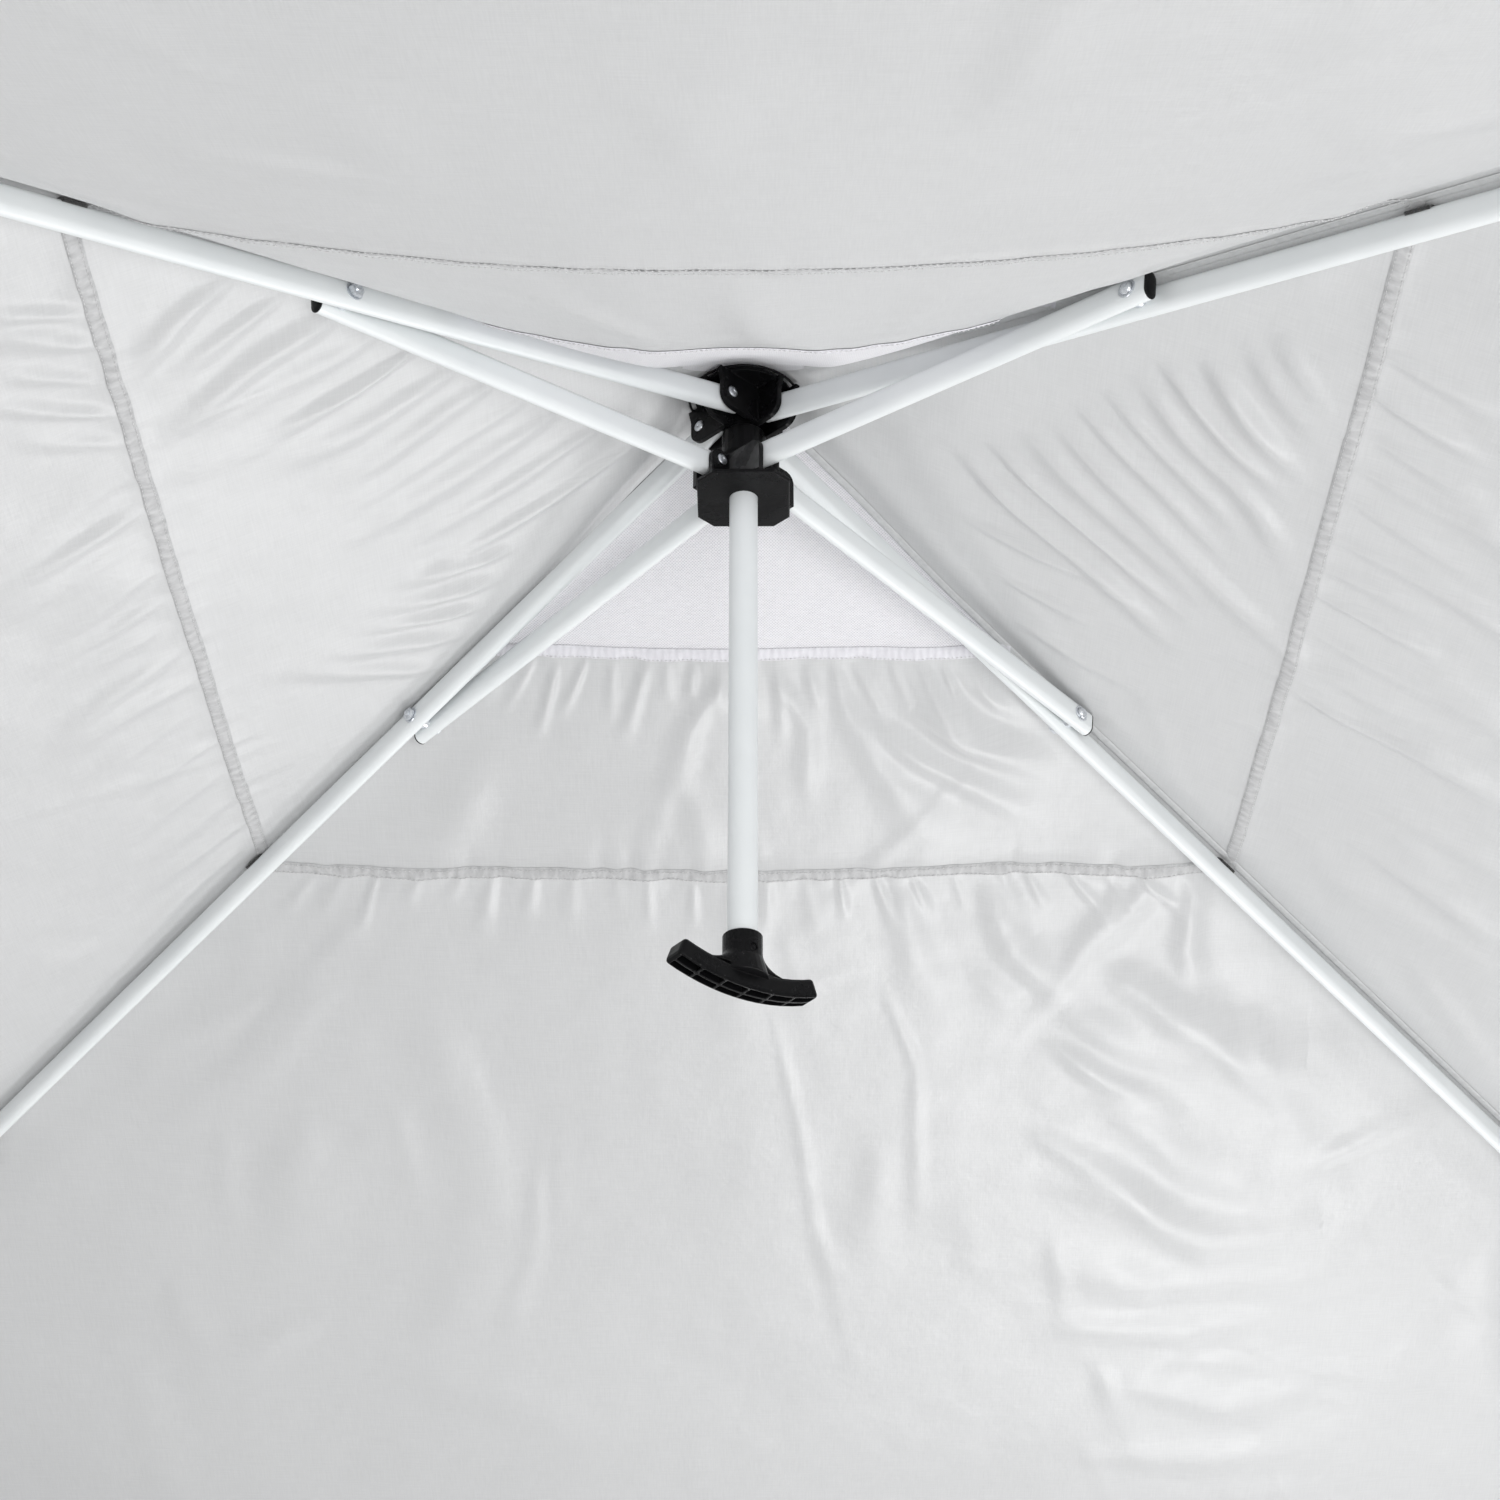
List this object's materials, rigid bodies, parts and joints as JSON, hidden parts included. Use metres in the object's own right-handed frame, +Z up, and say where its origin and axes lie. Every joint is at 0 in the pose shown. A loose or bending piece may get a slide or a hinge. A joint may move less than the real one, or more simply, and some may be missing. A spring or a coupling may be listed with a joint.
{
  "type": "pop up canopy",
  "caption": "Square pop up canopy with a centre-hub folding frame, pull handle, telescopic legs, vented cloth roof and valance.",
  "frame": {"origin": "on the ground under the hub, at the middle of the square", "axes": "+Z up; the sides face X and Y, the vent meshes face -Y and +Y"},
  "size_m": [3, 3, 2.6645],
  "materials": {
    "white_coat": "satin powder coat",
    "black_plastic": "moulded, light sheen",
    "zinc_steel": "zinc plated",
    "roof_cloth": "coated plain weave",
    "vent_mesh": "knitted mesh"
  },
  "bodies": {
    "hub": {"hub_body": "black_plastic", "hub_cap": "black_plastic", "hub_screw_1": "zinc_steel", "hub_screw_2": "zinc_steel", "hub_screw_3": "zinc_steel", "hub_screw_4": "zinc_steel", "roof_panel_front": "roof_cloth", "roof_panel_back": "roof_cloth", "roof_panel_left": "roof_cloth", "roof_panel_right": "roof_cloth", "vent_mesh_front": "vent_mesh", "vent_mesh_back": "vent_mesh", "vent_cap": "roof_cloth"},
    "slider": {"slider_body": "black_plastic", "handle_tube": "white_coat", "handle_grip": "black_plastic", "slider_screw_1": "zinc_steel", "slider_screw_2": "zinc_steel", "slider_screw_3": "zinc_steel", "slider_screw_4": "zinc_steel"},
    "inner_rib_1": {"inner_rib_1": "white_coat", "knuckle_1": "black_plastic"},
    "outer_rib_1": {"outer_rib_1": "white_coat"},
    "strut_1": {"strut_1": "white_coat", "strut_bolt_1": "zinc_steel"},
    "leg_1": {"corner_bracket_1": "black_plastic", "outer_leg_1": "white_coat", "leg_collar_1": "black_plastic"},
    "inner_leg_1": {"inner_leg_1": "zinc_steel"},
    "lock_button_1": {"lock_button_1": "zinc_steel"},
    "inner_rib_2": {"inner_rib_2": "white_coat", "knuckle_2": "black_plastic"},
    "outer_rib_2": {"outer_rib_2": "white_coat"},
    "strut_2": {"strut_2": "white_coat", "strut_bolt_2": "zinc_steel"},
    "leg_2": {"corner_bracket_2": "black_plastic", "outer_leg_2": "white_coat", "leg_collar_2": "black_plastic"},
    "inner_leg_2": {"inner_leg_2": "zinc_steel"},
    "lock_button_2": {"lock_button_2": "zinc_steel"},
    "inner_rib_3": {"inner_rib_3": "white_coat", "knuckle_3": "black_plastic"},
    "outer_rib_3": {"outer_rib_3": "white_coat"},
    "strut_3": {"strut_3": "white_coat", "strut_bolt_3": "zinc_steel"},
    "leg_3": {"corner_bracket_3": "black_plastic", "outer_leg_3": "white_coat", "leg_collar_3": "black_plastic"},
    "inner_leg_3": {"inner_leg_3": "zinc_steel"},
    "lock_button_3": {"lock_button_3": "zinc_steel"},
    "inner_rib_4": {"inner_rib_4": "white_coat", "knuckle_4": "black_plastic"},
    "outer_rib_4": {"outer_rib_4": "white_coat"},
    "strut_4": {"strut_4": "white_coat", "strut_bolt_4": "zinc_steel"},
    "leg_4": {"corner_bracket_4": "black_plastic", "outer_leg_4": "white_coat", "leg_collar_4": "black_plastic"},
    "inner_leg_4": {"inner_leg_4": "zinc_steel"},
    "lock_button_4": {"lock_button_4": "zinc_steel"}
  },
  "joints": [
    {"name": "fold", "type": "hinge", "parent": "hub", "child": "inner_rib_1", "pos_m": [0.01626, 0.02758, 2.6], "axis": [-0.7071, 0.7071, 0], "range_deg": [0, 70], "deforming": ["roof_panel_front", "roof_panel_back", "roof_panel_left", "roof_panel_right", "vent_mesh_front", "vent_mesh_back", "vent_cap"]},
    {"name": "inner_rib_hinge_2", "type": "hinge", "parent": "hub", "child": "inner_rib_2", "pos_m": [-0.02758, 0.01626, 2.6], "axis": [-0.7071, -0.7071, 0], "range_deg": [0, 70.01]},
    {"name": "inner_rib_hinge_3", "type": "hinge", "parent": "hub", "child": "inner_rib_3", "pos_m": [-0.01626, -0.02758, 2.6], "axis": [0.7071, -0.7071, 0], "range_deg": [0, 70.01]},
    {"name": "inner_rib_hinge_4", "type": "hinge", "parent": "hub", "child": "inner_rib_4", "pos_m": [0.02758, -0.01626, 2.6], "axis": [0.7071, 0.7071, 0], "range_deg": [0, 70.01]},
    {"name": "slider_slide", "type": "slide", "parent": "hub", "child": "slider", "axis": [0, 0, -1], "range_m": [0, 0.686]},
    {"name": "knuckle_hinge_1", "type": "hinge", "parent": "inner_rib_1", "child": "outer_rib_1", "pos_m": [0.74547, 0.74547, 2.28716], "axis": [0.7071, -0.7071, 0], "range_deg": [0, 175.01]},
    {"name": "strut_hinge_1", "type": "hinge", "parent": "slider", "child": "strut_1", "pos_m": [0.0244, 0.01308, 2.545], "axis": [0.7071, -0.7071, 0], "range_deg": [0, 94.8]},
    {"name": "corner_hinge_1", "type": "hinge", "parent": "outer_rib_1", "child": "leg_1", "pos_m": [1.4326, 1.42128, 1.99251], "axis": [-0.7071, 0.7071, 0], "range_deg": [0, 105.01]},
    {"name": "leg_telescope_1", "type": "slide", "parent": "leg_1", "child": "inner_leg_1", "axis": [0, 0, 1], "range_m": [0, 0.8]},
    {"name": "lock_button_press_1", "type": "slide", "parent": "leg_1", "child": "lock_button_1", "axis": [-1, 0, 0], "range_m": [0, 0.0035], "stiffness_N_per_m": 600},
    {"name": "knuckle_hinge_2", "type": "hinge", "parent": "inner_rib_2", "child": "outer_rib_2", "pos_m": [-0.74547, 0.74547, 2.28716], "axis": [0.7071, 0.7071, 0], "range_deg": [0, 175.01]},
    {"name": "strut_hinge_2", "type": "hinge", "parent": "slider", "child": "strut_2", "pos_m": [-0.01308, 0.0244, 2.545], "axis": [0.7071, 0.7071, 0], "range_deg": [0, 94.8]},
    {"name": "corner_hinge_2", "type": "hinge", "parent": "outer_rib_2", "child": "leg_2", "pos_m": [-1.42128, 1.4326, 1.99251], "axis": [-0.7071, -0.7071, 0], "range_deg": [0, 105.01]},
    {"name": "leg_telescope_2", "type": "slide", "parent": "leg_2", "child": "inner_leg_2", "axis": [0, 0, 1], "range_m": [0, 0.8]},
    {"name": "lock_button_press_2", "type": "slide", "parent": "leg_2", "child": "lock_button_2", "axis": [0, -1, 0], "range_m": [0, 0.0035], "stiffness_N_per_m": 600},
    {"name": "knuckle_hinge_3", "type": "hinge", "parent": "inner_rib_3", "child": "outer_rib_3", "pos_m": [-0.74547, -0.74547, 2.28716], "axis": [-0.7071, 0.7071, 0], "range_deg": [0, 175.01]},
    {"name": "strut_hinge_3", "type": "hinge", "parent": "slider", "child": "strut_3", "pos_m": [-0.0244, -0.01308, 2.545], "axis": [-0.7071, 0.7071, 0], "range_deg": [0, 94.8]},
    {"name": "corner_hinge_3", "type": "hinge", "parent": "outer_rib_3", "child": "leg_3", "pos_m": [-1.4326, -1.42128, 1.99251], "axis": [0.7071, -0.7071, 0], "range_deg": [0, 105.01]},
    {"name": "leg_telescope_3", "type": "slide", "parent": "leg_3", "child": "inner_leg_3", "axis": [0, 0, 1], "range_m": [0, 0.8]},
    {"name": "lock_button_press_3", "type": "slide", "parent": "leg_3", "child": "lock_button_3", "axis": [1, 0, 0], "range_m": [0, 0.0035], "stiffness_N_per_m": 600},
    {"name": "knuckle_hinge_4", "type": "hinge", "parent": "inner_rib_4", "child": "outer_rib_4", "pos_m": [0.74547, -0.74547, 2.28716], "axis": [-0.7071, -0.7071, 0], "range_deg": [0, 175.01]},
    {"name": "strut_hinge_4", "type": "hinge", "parent": "slider", "child": "strut_4", "pos_m": [0.01308, -0.0244, 2.545], "axis": [-0.7071, -0.7071, 0], "range_deg": [0, 94.8]},
    {"name": "corner_hinge_4", "type": "hinge", "parent": "outer_rib_4", "child": "leg_4", "pos_m": [1.42128, -1.4326, 1.99251], "axis": [0.7071, 0.7071, 0], "range_deg": [0, 105.01]},
    {"name": "leg_telescope_4", "type": "slide", "parent": "leg_4", "child": "inner_leg_4", "axis": [0, 0, 1], "range_m": [0, 0.8]},
    {"name": "lock_button_press_4", "type": "slide", "parent": "leg_4", "child": "lock_button_4", "axis": [0, 1, 0], "range_m": [0, 0.0035], "stiffness_N_per_m": 600}
  ],
  "couplings": [
    {"joint": "inner_rib_hinge_2", "follows": "fold", "ratio": 1},
    {"joint": "inner_rib_hinge_3", "follows": "fold", "ratio": 1},
    {"joint": "inner_rib_hinge_4", "follows": "fold", "ratio": 1},
    {"joint": "slider_slide", "follows": "fold", "m_per_rad": 0.56141},
    {"joint": "knuckle_hinge_1", "follows": "fold", "ratio": 2.5},
    {"joint": "strut_hinge_1", "follows": "fold", "ratio": 1.3541},
    {"joint": "corner_hinge_1", "follows": "fold", "ratio": 1.5},
    {"joint": "knuckle_hinge_2", "follows": "fold", "ratio": 2.5},
    {"joint": "strut_hinge_2", "follows": "fold", "ratio": 1.3541},
    {"joint": "corner_hinge_2", "follows": "fold", "ratio": 1.5},
    {"joint": "knuckle_hinge_3", "follows": "fold", "ratio": 2.5},
    {"joint": "strut_hinge_3", "follows": "fold", "ratio": 1.3541},
    {"joint": "corner_hinge_3", "follows": "fold", "ratio": 1.5},
    {"joint": "knuckle_hinge_4", "follows": "fold", "ratio": 2.5},
    {"joint": "strut_hinge_4", "follows": "fold", "ratio": 1.3541},
    {"joint": "corner_hinge_4", "follows": "fold", "ratio": 1.5}
  ]
}
